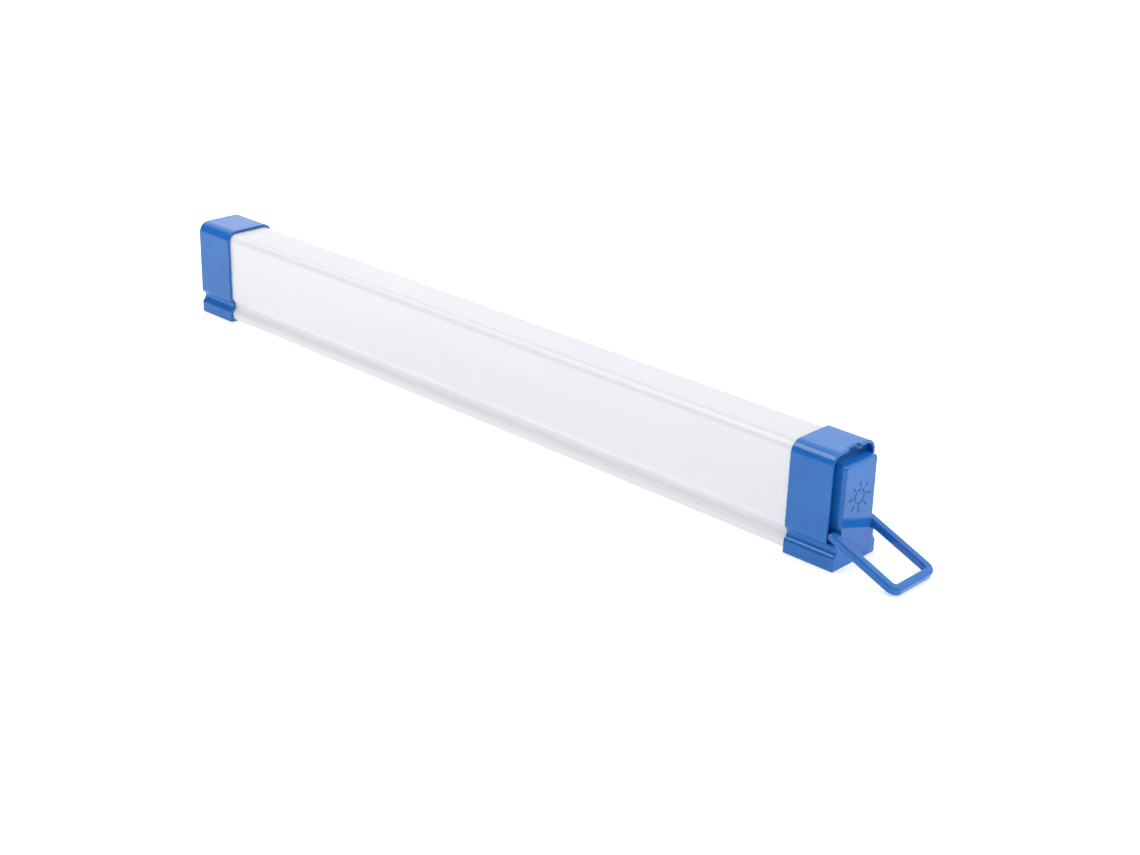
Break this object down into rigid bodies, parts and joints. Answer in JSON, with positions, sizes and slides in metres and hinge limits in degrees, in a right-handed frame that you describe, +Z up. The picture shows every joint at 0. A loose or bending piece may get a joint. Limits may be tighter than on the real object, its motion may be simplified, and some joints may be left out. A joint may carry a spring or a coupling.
{
  "type": "led light tube",
  "caption": "Slim rechargeable LED light tube with a milky diffuser between two blue end caps and a folding bail to hang it by.",
  "frame": {"origin": "under the middle of the lamp's box, on the surface that its end caps stand on, with the bail out", "axes": "+X along the tube towards the end cap with the bail, +Y across the tube, +Z up, to the lit side"},
  "size_m": [0.3516, 0.0224, 0.0387],
  "materials": {
    "blue_plastic": "glossy moulded blue ABS",
    "milky_plastic": "milky translucent extruded polycarbonate, satin",
    "key_plastic": "light grey moulded key",
    "washer_plastic": "white insulating washer",
    "black_plastic": "black moulded component plastic",
    "steel": "nickel-plated steel",
    "board_white": "aluminium board with white solder mask",
    "phosphor": "yellow phosphor over a white package",
    "board_green": "green solder mask on glass-fibre board",
    "cell_sleeve": "shrink sleeve of the cell",
    "foam": "adhesive foam",
    "clear_plastic": "clear acrylic",
    "red_wire": "red wire insulation",
    "black_wire": "black wire insulation"
  },
  "bodies": {
    "lamp": {"diffuser_tube": "milky_plastic", "hook_end_cap": "blue_plastic", "switch_end_cap": "blue_plastic", "key_switch": "black_plastic", "usb_shell": "steel", "usb_insulator": "black_plastic", "control_board": "board_green", "board_screw_near": "steel", "board_screw_far": "steel", "charge_indicator": "phosphor", "light_pipe": "clear_plastic", "charge_chip": "black_plastic", "driver_transistor": "black_plastic", "current_resistor": "black_plastic", "led_board": "board_white", "led_chip_01": "phosphor", "led_chip_02": "phosphor", "led_chip_03": "phosphor", "led_chip_04": "phosphor", "led_chip_05": "phosphor", "led_chip_06": "phosphor", "led_chip_07": "phosphor", "led_chip_08": "phosphor", "led_chip_09": "phosphor", "led_chip_10": "phosphor", "led_chip_11": "phosphor", "led_chip_12": "phosphor", "led_chip_13": "phosphor", "led_chip_14": "phosphor", "led_chip_15": "phosphor", "led_chip_16": "phosphor", "led_chip_17": "phosphor", "led_chip_18": "phosphor", "led_chip_19": "phosphor", "led_chip_20": "phosphor", "led_chip_21": "phosphor", "led_chip_22": "phosphor", "led_chip_23": "phosphor", "led_chip_24": "phosphor", "cell_can": "steel", "cell_sleeve": "cell_sleeve", "cell_washer": "washer_plastic", "cell_positive_cap": "steel", "cell_tab_plus": "steel", "cell_tab_minus": "steel", "cell_wire_plus": "red_wire", "cell_wire_minus": "black_wire", "led_wire_plus": "red_wire", "led_wire_minus": "black_wire", "cell_foam_pad": "foam"},
    "bail": {"hanging_bail": "blue_plastic"},
    "key": {"push_button": "key_plastic", "key_plunger": "black_plastic"}
  },
  "joints": [
    {"name": "bail_swing", "type": "hinge", "parent": "lamp", "child": "bail", "pos_m": [0.15034, 0, 0.0115], "axis": [0, -1, 0], "range_deg": [0, 112.2]},
    {"name": "button_press", "type": "slide", "parent": "lamp", "child": "key", "axis": [1, 0, 0], "range_m": [0, 0.0005], "stiffness_N_per_m": 1000}
  ]
}
